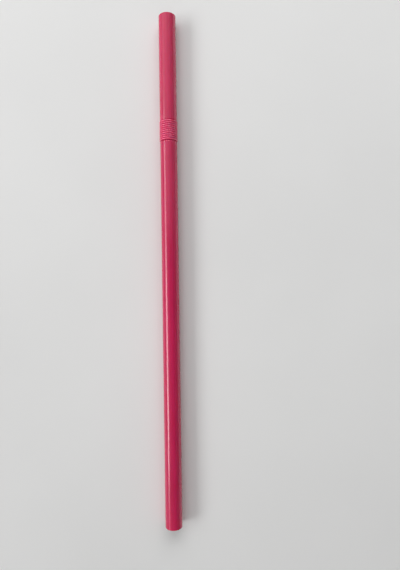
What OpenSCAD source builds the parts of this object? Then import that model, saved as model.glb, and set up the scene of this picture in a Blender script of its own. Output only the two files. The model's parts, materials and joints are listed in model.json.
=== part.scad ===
// Flexible drinking straw: one thin-walled plastic tube with a short bellows near the mouth end.
// The straw lies along Y with its mouth end at +Y, and its bellows ridges touch the plane z = 0.
// The bellows is pushed shut: its wall runs in tight hairpin folds that lean over one another
// like stacked cups, so that the ridges close up into a row of round rings with narrow grooves.

/* [Tube] */
// Length from the mouth end to the lower end
straw_length = 210; // [150:1:280]
// Outside diameter of the plain tube
tube_diameter = 7; // [6:0.1:10]
// Thickness of the wall
wall = 0.18; // [0.12:0.01:0.24]
// Straight tube between the mouth end and the bellows
mouth_length = 43; // [25:0.5:80]

/* [Bellows] */
// Number of ridges
ridge_count = 10; // [4:1:24]
// Distance from one ridge to the next
ridge_pitch = 0.82; // [0.7:0.01:1.2]
// Height of the ridges above the plain tube
ridge_rise = 0.2; // [0.05:0.01:0.4]
// Straight stretch of wall from the shoulder of the lower tube in to the bottom of the groove beside it
flank_length = 0.12; // [0.02:0.01:0.4]
// Gap that the grooves leave between the ridges
groove_gap = 0.06; // [0.03:0.01:0.2]
// Lean of the folds towards the mouth end, from square to the axis
fold_lean = 25; // [10:1:40]

/* [Hidden] */

// Facets of a full turn around the axis, and of the half turn of wall in one fold
turn_facets = 128;
fold_steps = 8;

tube_radius = tube_diameter / 2;
ridge_radius = tube_radius + ridge_rise;

// The folds are hairpins: the middle of the wall makes half a turn over each ridge and half a turn
// the other way around the bottom of each groove. The ridges fill what the grooves leave of the pitch.
groove_radius = (wall + groove_gap) / 2;
ridge_bend_radius = ridge_pitch * cos(fold_lean) / 2 - groove_radius;
flank = [cos(fold_lean), sin(fold_lean)];
across = [-sin(fold_lean), cos(fold_lean)];

// Profile points are [distance from the axis, distance along it], with the mouth end at the top
mouth_end = straw_length / 2;
lower_end = -straw_length / 2;

// Distance from the axis to the middle of the half turn at the top of a ridge
ridge_middle = ridge_radius - wall / 2 - ridge_bend_radius;

// Along a flank from the bend of a ridge: in to where the bend of a shoulder is, and in to the groove
shoulder_reach = -ridge_rise / flank[0];
groove_reach = shoulder_reach - flank_length;

// The ridges are numbered from the mouth side. One more before the first and one after the last,
// pulled in to the tube's own radius, make the round shoulders at the two ends of the bellows.
mouth_shoulder = 0;
lower_shoulder = ridge_count + 1;
numbering_start = mouth_end - mouth_length - shoulder_reach * flank[1];

// Centres of the bends: of a ridge, of a shoulder, and of the groove on the mouth side of either
function ridge_centre(i) = [ridge_middle, numbering_start - i * ridge_pitch];
function shoulder_centre(i) = ridge_centre(i) + shoulder_reach * flank;
function groove_centre(i) =
    ridge_centre(i) + groove_reach * flank + (ridge_bend_radius + groove_radius) * across;

// Directions that a face of the wall looks in: out from the tube, and away from a flank on its
// mouth side or its lower side
facing_out = 0;
facing_mouth = 90 + fold_lean;
facing_lower = -90 + fold_lean;
half_turn = 180;

// Directions that the bends turn through: over a ridge, around the bottom of a groove, and at
// the shoulder of each tube
ridge_bend = [facing_mouth, facing_out, facing_lower];
groove_bend = [facing_lower + half_turn, facing_out + half_turn, facing_mouth + half_turn];
mouth_bend = [facing_out, facing_lower];
lower_bend = [facing_mouth, facing_out];

// Points of an arc that turns from each direction of a bend to the next, in equal steps
function bend_points(centre, radius, bend) = [
    for (j = [1:len(bend) - 1])
        let (
            turn = bend[j] - bend[j - 1],
            steps = ceil(fold_steps * abs(turn) / half_turn)
        )
        for (k = [(j == 1 ? 0 : 1):steps])
            let (angle = bend[j - 1] + turn * k / steps)
            centre + radius * [cos(angle), sin(angle)]
];

// One face of the wall from the mouth end to the lower end, at the given distance outside its middle
function wall_face(offset) =
    let (
        ridge_turn = ridge_bend_radius + offset,
        groove_turn = groove_radius - offset,
        tube_face = tube_radius - wall / 2 + offset
    )
    concat(
        [[tube_face, mouth_end]],
        bend_points(shoulder_centre(mouth_shoulder), ridge_turn, mouth_bend),
        [for (i = [mouth_shoulder + 1:ridge_count]) each concat(
            bend_points(groove_centre(i), groove_turn, groove_bend),
            bend_points(ridge_centre(i), ridge_turn, ridge_bend)
        )],
        bend_points(groove_centre(lower_shoulder), groove_turn, groove_bend),
        bend_points(shoulder_centre(lower_shoulder), ridge_turn, lower_bend),
        [[tube_face, lower_end]]
    );

function reversed(points) = [for (k = [len(points) - 1:-1:0]) points[k]];

// Section through the whole wall, on one side of the axis
module wall_section() {
    polygon(concat(wall_face(wall / 2), reversed(wall_face(-wall / 2))));
}

module straw() {
    color([0.78, 0.16, 0.32])
        translate([0, 0, ridge_radius])
            rotate([-90, 0, 0])
                rotate_extrude($fn = turn_facets)
                    wall_section();
}

straw();
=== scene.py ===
# The looks of a flexible drinking straw: its finely turned wall, its dyed plastic, a pale floor,
# soft studio light and a camera that looks straight down on the straw.
import json
import math

import bpy
from mathutils import Matrix, Vector


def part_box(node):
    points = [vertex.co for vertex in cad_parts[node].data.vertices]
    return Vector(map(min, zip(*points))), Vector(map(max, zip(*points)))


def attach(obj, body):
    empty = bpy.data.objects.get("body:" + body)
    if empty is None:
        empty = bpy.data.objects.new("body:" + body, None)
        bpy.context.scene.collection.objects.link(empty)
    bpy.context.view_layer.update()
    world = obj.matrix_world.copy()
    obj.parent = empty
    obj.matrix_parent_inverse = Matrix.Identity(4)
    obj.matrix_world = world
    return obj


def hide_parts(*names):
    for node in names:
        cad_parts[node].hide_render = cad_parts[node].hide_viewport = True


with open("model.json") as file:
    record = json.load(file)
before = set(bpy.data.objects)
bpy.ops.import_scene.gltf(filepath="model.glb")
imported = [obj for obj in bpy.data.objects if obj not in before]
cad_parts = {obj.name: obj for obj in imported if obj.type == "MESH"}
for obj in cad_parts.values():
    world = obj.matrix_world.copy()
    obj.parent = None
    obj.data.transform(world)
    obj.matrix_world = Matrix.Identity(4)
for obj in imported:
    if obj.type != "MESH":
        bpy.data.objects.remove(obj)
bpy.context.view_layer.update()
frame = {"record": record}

MM = 0.001
FULL_TURN = 2 * math.pi
HALF_TURN = math.pi
QUARTER_TURN = math.pi / 2

# Sizes and places that the frame gives
mount_sizes = {mount["name"]: mount["dims"] for mount in frame["record"]["mounts"]}
tube_radius = mount_sizes["lower_tube"]["r_mm"] * MM
bore_radius = mount_sizes["lower_bore"]["r_mm"] * MM
mouth_length = mount_sizes["mouth_tube"]["length_mm"] * MM
lower_length = mount_sizes["lower_tube"]["length_mm"] * MM
lowest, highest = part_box("straw")
lower_end = lowest.y
mouth_end = highest.y
ridge_radius = (highest.x - lowest.x) / 2
axis_height = ridge_radius
straw_length = mouth_end - lower_end
wall = tube_radius - bore_radius

# Sizes of the bellows: four that the frame doesn't state, and those that follow from the rest
RIDGE_COUNT = 10
FOLD_LEAN = math.radians(25)
FLANK_LENGTH = 0.12 * MM
GROOVE_GAP = 0.06 * MM
ridge_rise = ridge_radius - tube_radius
bellows_length = straw_length - mouth_length - lower_length
bellows_half = bellows_length / 2
bellows_middle = (mouth_end - mouth_length + lower_end + lower_length) / 2
ridge_pitch = bellows_length / (RIDGE_COUNT + 1)

# How finely the wall is turned: around the axis, around half a turn of a fold and along a plain tube
TURN_STEPS = 128
FOLD_STEPS = 10
RING_SPACING = 4 * MM

# The cut edges at both ends are slightly rounded, and a ring close to each bend keeps the tubes flat
RIM_RADIUS = 0.04 * MM
RIM_STEPS = 4
BEND_MARGIN = 0.08 * MM

# In the square map of the surface, the wall of the bellows gets so many times the length that it has,
# and the strips of the outside and the bore keep these margins beside them and at their ends
MAP_STRETCH = 5
SIDE_MARGIN = 0.01
END_MARGIN = 0.005


# The wall's section: points are (distance from the axis, place along it), with the mouth end at the top
groove_radius = (wall + GROOVE_GAP) / 2
ridge_bend_radius = ridge_pitch * math.cos(FOLD_LEAN) / 2 - groove_radius
flank = Vector((math.cos(FOLD_LEAN), math.sin(FOLD_LEAN)))
across = Vector((-math.sin(FOLD_LEAN), math.cos(FOLD_LEAN)))
shoulder_reach = -ridge_rise / flank.x
groove_reach = shoulder_reach - FLANK_LENGTH
ridge_middle = ridge_radius - wall / 2 - ridge_bend_radius
numbering_start = mouth_end - mouth_length - shoulder_reach * flank.y

# The ridges are numbered from the mouth side, and the shoulders of the two tubes count as one more each
MOUTH_SHOULDER = 0
LOWER_SHOULDER = RIDGE_COUNT + 1

# Directions that a face of the wall looks in
FACING_OUT = 0.0
FACING_MOUTH = QUARTER_TURN + FOLD_LEAN
FACING_LOWER = -QUARTER_TURN + FOLD_LEAN


def ridge_centre(number):
    """Middle of the bend at the top of a ridge."""
    return Vector((ridge_middle, numbering_start - number * ridge_pitch))


def shoulder_centre(number):
    """Middle of the bend where a plain tube meets the bellows."""
    return ridge_centre(number) + shoulder_reach * flank


def groove_centre(number):
    """Middle of the bend at the bottom of the groove on the mouth side of a ridge or shoulder."""
    return ridge_centre(number) + groove_reach * flank + (ridge_bend_radius + groove_radius) * across


def arc(centre, radius, start, end, steps):
    """Points of an arc from one direction to another, both included."""
    angles = [start + (end - start) * k / steps for k in range(steps + 1)]
    return [centre + radius * Vector((math.cos(a), math.sin(a))) for a in angles]


def bend(centre, radius, *directions):
    """Points of a bend of the wall that turns through the given directions."""
    points = []
    for start, end in zip(directions, directions[1:]):
        steps = math.ceil(FOLD_STEPS * abs(end - start) / HALF_TURN)
        points = points[:-1] + arc(centre, radius, start, end, steps)
    return points


def tube(radius, start, end):
    """Rings of a plain tube between two bends, nearest the bends first and last."""
    step = math.copysign(1, end - start)
    first = start + step * BEND_MARGIN
    last = end - step * BEND_MARGIN
    count = math.ceil(abs(last - first) / RING_SPACING)
    return [Vector((radius, first + (last - first) * k / count)) for k in range(count + 1)]


def wall_face(radius):
    """One face of the wall, from its mouth end to its lower end, for the tubes' given radius."""
    offset = radius - (tube_radius + bore_radius) / 2
    ridge_turn = ridge_bend_radius + offset
    groove_turn = groove_radius - offset
    mouth_shoulder = shoulder_centre(MOUTH_SHOULDER)
    lower_shoulder = shoulder_centre(LOWER_SHOULDER)
    points = tube(radius, mouth_end - RIM_RADIUS, mouth_shoulder.y)
    points += bend(mouth_shoulder, ridge_turn, FACING_OUT, FACING_LOWER)
    for number in range(MOUTH_SHOULDER + 1, LOWER_SHOULDER + 1):
        points += bend(
            groove_centre(number),
            groove_turn,
            FACING_LOWER + HALF_TURN,
            FACING_OUT + HALF_TURN,
            FACING_MOUTH + HALF_TURN,
        )
        if number < LOWER_SHOULDER:
            points += bend(ridge_centre(number), ridge_turn, FACING_MOUTH, FACING_OUT, FACING_LOWER)
    points += bend(lower_shoulder, ridge_turn, FACING_MOUTH, FACING_OUT)
    points += tube(radius, lower_shoulder.y, lower_end + RIM_RADIUS)
    return points


def rim(end, facing):
    """The rounded cut edge at one end, from the bore out to the outside; facing is 1 at the mouth end."""
    along = end - facing * RIM_RADIUS
    inner = Vector((bore_radius + RIM_RADIUS, along))
    outer = Vector((tube_radius - RIM_RADIUS, along))
    quarter = facing * QUARTER_TURN
    inner_edge = arc(inner, RIM_RADIUS, 2 * quarter, quarter, RIM_STEPS)
    outer_edge = arc(outer, RIM_RADIUS, quarter, FACING_OUT, RIM_STEPS)
    return inner_edge + outer_edge


def wall_section():
    """The outline of the whole wall on one side of the axis: the outside with both rims, and the bore."""
    outside = rim(mouth_end, 1) + wall_face(tube_radius) + rim(lower_end, -1)[::-1]
    bore = wall_face(bore_radius)[::-1]
    return outside, bore


def map_places(points):
    """How far along the map, between its margins, each point of a line of the section lies."""
    places = [0.0]
    for start, end in zip(points, points[1:]):
        folded = abs((start.y + end.y) / 2 - bellows_middle) < bellows_half
        places.append(places[-1] + (end - start).length * (MAP_STRETCH if folded else 1))
    map_length = 1 - 2 * END_MARGIN
    return [END_MARGIN + map_length * (place / places[-1]) for place in places]


def unroll(mesh, outside, bore):
    """Maps the outside to one half of a square and the bore to the other, each as one flat strip."""
    strips = [
        (SIDE_MARGIN, map_places(outside)),
        (0.5 + SIDE_MARGIN, map_places([outside[-1]] + bore + [outside[0]])),
    ]
    strip_width = 0.5 - 2 * SIDE_MARGIN
    spots = []
    for step in range(TURN_STEPS):
        for left, places in strips:
            here = left + strip_width * step / TURN_STEPS
            beside = left + strip_width * (step + 1) / TURN_STEPS
            for near, far in zip(places, places[1:]):
                spots += [here, near, here, far, beside, far, beside, near]
    mesh.uv_layers.new(name="OFBake").data.foreach_set("uv", spots)


def turned_faces(sides, count, closed):
    """Quads between the neighbouring copies of a turned line of points, which may close to a loop."""
    faces = []
    for side in range(sides):
        here = side * count
        beside = (side + 1) % sides * count
        for k in range(count if closed else count - 1):
            following = (k + 1) % count
            faces.append((here + k, here + following, beside + following, beside + k))
    return faces


def smooth_mesh(name, points, faces):
    """A new mesh that is shaded smoothly."""
    mesh = bpy.data.meshes.new(name)
    mesh.from_pydata(points, [], faces)
    mesh.shade_smooth()
    return mesh


def straw_mesh():
    """The wall's section turned once around the straw's axis, as a closed mesh of quads."""
    outside, bore = wall_section()
    section = outside + bore
    points = []
    for step in range(TURN_STEPS):
        angle = FULL_TURN * step / TURN_STEPS
        sideways, up = math.sin(angle), math.cos(angle)
        points += [(p.x * sideways, p.y, axis_height + p.x * up) for p in section]
    mesh = smooth_mesh("straw_tube", points, turned_faces(TURN_STEPS, len(section), closed=True))
    unroll(mesh, outside, bore)
    return mesh


class Nodes:
    """A material's node tree, with short ways to add and join nodes."""

    # Sockets of a mix of colours, whose names the sockets of other mixes have too
    FIRST_COLOUR = 6
    SECOND_COLOUR = 7
    MIXED_COLOUR = 2

    def __init__(self, name):
        self.material = bpy.data.materials.new(name)
        self.material.use_nodes = True
        self.tree = self.material.node_tree
        self.shader = self.tree.nodes["Principled BSDF"]

    def add(self, kind, inputs=None, **settings):
        """A new node with its settings, and with values or other nodes' outputs on its inputs."""
        node = self.tree.nodes.new(kind)
        for key, value in settings.items():
            setattr(node, key, value)
        for key, value in (inputs or {}).items():
            self.set(node.inputs[key], value)
        return node

    def set(self, socket, value):
        """Gives a socket a value, or a link to another node's output."""
        if isinstance(value, bpy.types.NodeSocket):
            self.tree.links.new(value, socket)
        else:
            socket.default_value = value

    def noise(self, place, scale, detail, roughness=0.5):
        """Noise of the given scale per metre along each axis, around one half."""
        mapped = self.add("ShaderNodeMapping", {"Vector": place, "Scale": scale})
        inputs = {
            "Vector": mapped.outputs["Vector"],
            "Scale": 1.0,
            "Detail": detail,
            "Roughness": roughness,
        }
        return self.add("ShaderNodeTexNoise", inputs).outputs["Fac"]

    def ramp(self, value, low, high, to_low=0.0, to_high=1.0):
        """The value's stretch from low to high, laid smoothly over to_low to to_high."""
        inputs = {
            "Value": value,
            "From Min": low,
            "From Max": high,
            "To Min": to_low,
            "To Max": to_high,
        }
        node = self.add("ShaderNodeMapRange", inputs, interpolation_type="SMOOTHSTEP")
        return node.outputs["Result"]

    def mix(self, share, first, second):
        """A colour between two colours."""
        node = self.add("ShaderNodeMix", data_type="RGBA")
        self.set(node.inputs["Factor"], share)
        self.set(node.inputs[self.FIRST_COLOUR], first)
        self.set(node.inputs[self.SECOND_COLOUR], second)
        return node.outputs[self.MIXED_COLOUR]

    def math(self, operation, *values):
        """A sum, product or other operation of up to three values."""
        node = self.add("ShaderNodeMath", operation=operation)
        for socket, value in zip(node.inputs, values):
            self.set(socket, value)
        return node.outputs["Value"]

    def average(self, first, second, share):
        """The average of two values, with the given share of the first."""
        weighted = self.math("MULTIPLY", first, share)
        return self.math("ADD", weighted, self.math("MULTIPLY", second, 1 - share))


# Colours of the plastic, as linear red, green and blue
PINK = (0.63, 0.0155, 0.104, 1)
DEEP_PINK = (0.55, 0.011, 0.083, 1)
# The folds' pale pink is partly strain whitening and partly painted light on the crests and in the shaded
# grooves
STRAIN_AND_PAINTED_LIGHT_PINK = (0.84, 0.075, 0.205, 1)

# Noise in the plastic: its scale per metre across the straw, along it and upwards
DIE_LINE_SCALE = (2600, 9, 2600)
MOTTLING_SCALE = (260, 60, 260)
SCUFF_SCALE = (1500, 500, 1500)
WAVE_SCALE = (300, 18, 300)

# Stretches of the noise over which the dye gets brighter, and the gloss gets lost
DYE_STRETCH = (0.35, 0.65)
WEAR_STRETCH = (0.3, 0.7)

# Roughness of the glossiest and of the most worn plastic, and what the folds add to it
GLOSSY = 0.18
WORN = 0.26
FOLD_DULLING = 0.03

# How deep the die lines and the waves are, how strongly they show, and how far light gets in
LINE_DEPTH = 0.010 * MM
LINE_STRENGTH = 0.5
WAVE_DEPTH = 0.03 * MM
WAVE_STRENGTH = 0.25
LIGHT_DEPTH = 0.4 * MM

# Strain grows from this distance from the axis out to the crests. It is partly the plastic's strain
# whitening and partly painted light that lightens the crests and the shaded grooves between them.
# Going out from the bellows' middle, the wall counts as folded up to one distance, and as plain tube from
# the other on.
strain_and_painted_light_start = tube_radius - 1.5 * ridge_rise
folded_up_to = bellows_half - 0.6 * ridge_pitch
plain_from = bellows_half - 0.1 * ridge_pitch


def folds(made, place):
    """How far the wall is folded at a place, and how much strain whitening and painted light it gets
    there, each from 0 to 1.
    """
    split = made.add("ShaderNodeSeparateXYZ", {"Vector": place})
    sideways = split.outputs["X"]
    rise = made.math("SUBTRACT", split.outputs["Z"], axis_height)
    squares = [made.math("MULTIPLY", distance, distance) for distance in (sideways, rise)]
    from_axis = made.math("SQRT", made.math("ADD", *squares))
    from_middle = made.math("ABSOLUTE", made.math("SUBTRACT", split.outputs["Y"], bellows_middle))
    crest = made.ramp(from_axis, strain_and_painted_light_start, ridge_radius)
    folded = made.ramp(from_middle, folded_up_to, plain_from, 1.0, 0.0)
    strain_and_painted_light = made.math("MULTIPLY", crest, folded)
    return folded, strain_and_painted_light


def pink_plastic():
    """Polypropylene dyed through: die lines along the tube, soft mottling, and folds made pale by strain
    whitening and painted light.
    """
    made = Nodes("pink_plastic")
    place = made.add("ShaderNodeTexCoord").outputs["Object"]
    die_lines = made.noise(place, DIE_LINE_SCALE, detail=3)
    mottling = made.noise(place, MOTTLING_SCALE, detail=4)
    scuffs = made.noise(place, SCUFF_SCALE, detail=5, roughness=0.6)
    waves = made.noise(place, WAVE_SCALE, detail=1)
    folded, strain_and_painted_light = folds(made, place)

    tint = made.average(die_lines, mottling, share=0.5)
    dyed = made.mix(made.ramp(tint, *DYE_STRETCH), DEEP_PINK, PINK)
    # The pale pink on the folds is partly strain whitening and partly painted light that lightens the
    # crests and the shaded grooves
    made.set(made.shader.inputs["Base Color"], made.mix(strain_and_painted_light, dyed, STRAIN_AND_PAINTED_LIGHT_PINK))

    wear = made.average(scuffs, die_lines, share=0.6)
    gloss = made.ramp(wear, *WEAR_STRETCH, GLOSSY, WORN)
    made.set(made.shader.inputs["Roughness"], made.math("MULTIPLY_ADD", folded, FOLD_DULLING, gloss))

    inputs = {"Height": die_lines, "Strength": LINE_STRENGTH, "Distance": LINE_DEPTH}
    lined = made.add("ShaderNodeBump", inputs).outputs["Normal"]
    inputs = {"Height": waves, "Strength": WAVE_STRENGTH, "Distance": WAVE_DEPTH, "Normal": lined}
    made.set(made.shader.inputs["Normal"], made.add("ShaderNodeBump", inputs).outputs["Normal"])

    made.shader.inputs["IOR"].default_value = 1.49
    made.shader.inputs["Specular IOR Level"].default_value = 0.75
    made.shader.inputs["Subsurface Weight"].default_value = 0.5
    made.shader.inputs["Subsurface Radius"].default_value = (1.0, 0.2, 0.3)
    made.shader.inputs["Subsurface Scale"].default_value = LIGHT_DEPTH
    return made.material


# Colours of the floor, its noise's scale per metre and the stretch of the noise between the two colours
PALE_GREY = (0.80, 0.80, 0.795, 1)
OFF_WHITE = (0.83, 0.83, 0.825, 1)
FLOOR_SCALE = (9, 9, 9)
FLOOR_STRETCH = (0.3, 0.7)


def pale_floor():
    """A matt off-white surface with faint mottling."""
    made = Nodes("pale_floor")
    place = made.add("ShaderNodeTexCoord").outputs["Object"]
    mottling = made.noise(place, FLOOR_SCALE, detail=3)
    colour = made.mix(made.ramp(mottling, *FLOOR_STRETCH), PALE_GREY, OFF_WHITE)
    made.set(made.shader.inputs["Base Color"], colour)
    made.shader.inputs["Roughness"].default_value = 0.85
    made.shader.inputs["Specular IOR Level"].default_value = 0.2
    return made.material


def put(name, data):
    """A new object in the scene."""
    made = bpy.data.objects.new(name, data)
    bpy.context.scene.collection.objects.link(made)
    return made


# The straw
straw = put("straw_tube", straw_mesh())
straw.data.materials.append(pink_plastic())
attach(straw, "root")
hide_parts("straw")

# The floor, which the ridges touch: round, and curved up into a wall far from the straw
FLOOR_REACH = 3.0
COVE_RADIUS = 1.5
WALL_TOP = 3.5
COVE_STEPS = 16
FLOOR_SIDES = 64


def floor_mesh():
    """The flat middle of the floor, with the cove and the wall turned around it."""
    cove = arc(Vector((FLOOR_REACH, COVE_RADIUS)), COVE_RADIUS, -QUARTER_TURN, FACING_OUT, COVE_STEPS)
    profile = cove + [Vector((FLOOR_REACH + COVE_RADIUS, WALL_TOP))]
    count = len(profile)
    points = []
    for side in range(FLOOR_SIDES):
        angle = FULL_TURN * side / FLOOR_SIDES
        points += [(p.x * math.cos(angle), p.x * math.sin(angle), p.y) for p in profile]
    middle = [side * count for side in range(FLOOR_SIDES)]
    return smooth_mesh("floor", points, [middle] + turned_faces(FLOOR_SIDES, count, closed=False))


floor = put("floor", floor_mesh())
floor.data.materials.append(pale_floor())


# The camera: the picture's size, where the photograph shows the two ends of the straw's upper line and
# the focal length, all in pixels, then the sensor's size in millimetres and the nearest distance seen
IMAGE_WIDTH = 400
IMAGE_HEIGHT = 570
MOUTH_END_PIXEL = Vector((166.3, 11.8))
LOWER_END_PIXEL = Vector((173.5, 531.0))
FOCAL_PIXELS = 430
SENSOR = 36
NEAREST_SEEN = 0.01


def look_down():
    """A camera straight above, turned and placed so that both ends fall on their pixels."""
    run = MOUTH_END_PIXEL - LOWER_END_PIXEL
    roll = math.atan2(run.x, -run.y)
    distance = FOCAL_PIXELS * straw_length / run.length
    middle = (MOUTH_END_PIXEL + LOWER_END_PIXEL) / 2
    right_of_middle = (IMAGE_WIDTH / 2 - middle.x) * distance / FOCAL_PIXELS
    above_middle = (middle.y - IMAGE_HEIGHT / 2) * distance / FOCAL_PIXELS
    turn = Matrix.Rotation(roll, 4, "Z")
    upper_line = axis_height + tube_radius
    lens = bpy.data.cameras.new("camera")
    lens.sensor_width = SENSOR
    lens.lens = FOCAL_PIXELS * SENSOR / IMAGE_HEIGHT
    lens.clip_start = NEAREST_SEEN
    camera = put("camera", lens)
    camera.matrix_world = turn @ Matrix.Translation((right_of_middle, above_middle, upper_line + distance))
    bpy.context.scene.camera = camera


look_down()


# The light: a window at the left that is dimmer towards its ends, soft panels beyond both ends of the
# straw, panels over it whose light fades to the right, and a dim room. The sizes are the distance of
# what is at the left, and the height and the left edge of the panels over the straw.
SIDE_DISTANCE = 2.6
PANEL_HEIGHT = 0.32
PANEL_LEFT = -0.4
ROOM_BRIGHTNESS = 0.08


def panel(name, place, along, over, brightness):
    """An area light that faces the straw's middle, with its sizes along the straw and across it."""
    target = Vector((0, 0, axis_height))
    back = (Vector(place) - target).normalized()
    side = Vector((0, 1, 0))
    side = (side - back * side.dot(back)).normalized()
    turn = Matrix((side, back.cross(side), back)).transposed()
    lamp = bpy.data.lights.new(name, "AREA")
    lamp.shape = "RECTANGLE"
    lamp.size = along
    lamp.size_y = over
    lamp.energy = brightness * math.pi * along * over
    made = put(name, lamp)
    made.matrix_world = Matrix.Translation(place) @ turn.to_4x4()
    made.visible_camera = False


def from_left(degrees, middle):
    """A place at the straw's left, so many degrees from straight above and so far along the straw."""
    lean = math.radians(degrees)
    return (-SIDE_DISTANCE * math.sin(lean), middle, SIDE_DISTANCE * math.cos(lean))


def faded_panels(name, middle, along, steps):
    """Panels over the straw that overlap, of which each reaches its own distance to the right."""
    for number, (right, brightness) in enumerate(steps):
        place = ((PANEL_LEFT + right) / 2, middle, PANEL_HEIGHT)
        panel("%s_%d" % (name, number), place, along, right - PANEL_LEFT, brightness)


panel("window", from_left(56, middle=-0.51), along=1.36, over=0.80, brightness=7.4)
panel("dim_window", from_left(57, middle=0.62), along=0.90, over=0.86, brightness=3.6)
panel("mouth_side", from_left(62, middle=1.54), along=0.98, over=2.4, brightness=0.6)
panel("lower_side", from_left(62, middle=-1.45), along=0.8, over=0.65, brightness=0.6)
panel("beyond_mouth", (0.05, 1.13, 0.72), along=0.68, over=1.37, brightness=3.2)
panel("beyond_lower_end", (0.1, -2.4, 1.52), along=1.44, over=2.9, brightness=0.35)

# How far to the right each panel over the straw reaches, and its brightness
MOUTH_STEPS = ((-0.064, 0.11), (0.045, 0.14), (0.15, 0.18), (0.32, 0.14), (0.70, 0.20))
LOWER_STEPS = ((-0.08, 0.045), (0.0, 0.06), (0.08, 0.06))
faded_panels("over_mouth", middle=0.225, along=0.37, steps=MOUTH_STEPS)
faded_panels("over_lower_end", middle=-0.17, along=0.42, steps=LOWER_STEPS)

room = bpy.data.worlds.new("room")
room.use_nodes = True
room.node_tree.nodes["Background"].inputs["Color"].default_value = (1, 1, 1, 1)
room.node_tree.nodes["Background"].inputs["Strength"].default_value = ROOM_BRIGHTNESS
bpy.context.scene.world = room

bpy.context.scene.view_settings.view_transform = "Standard"
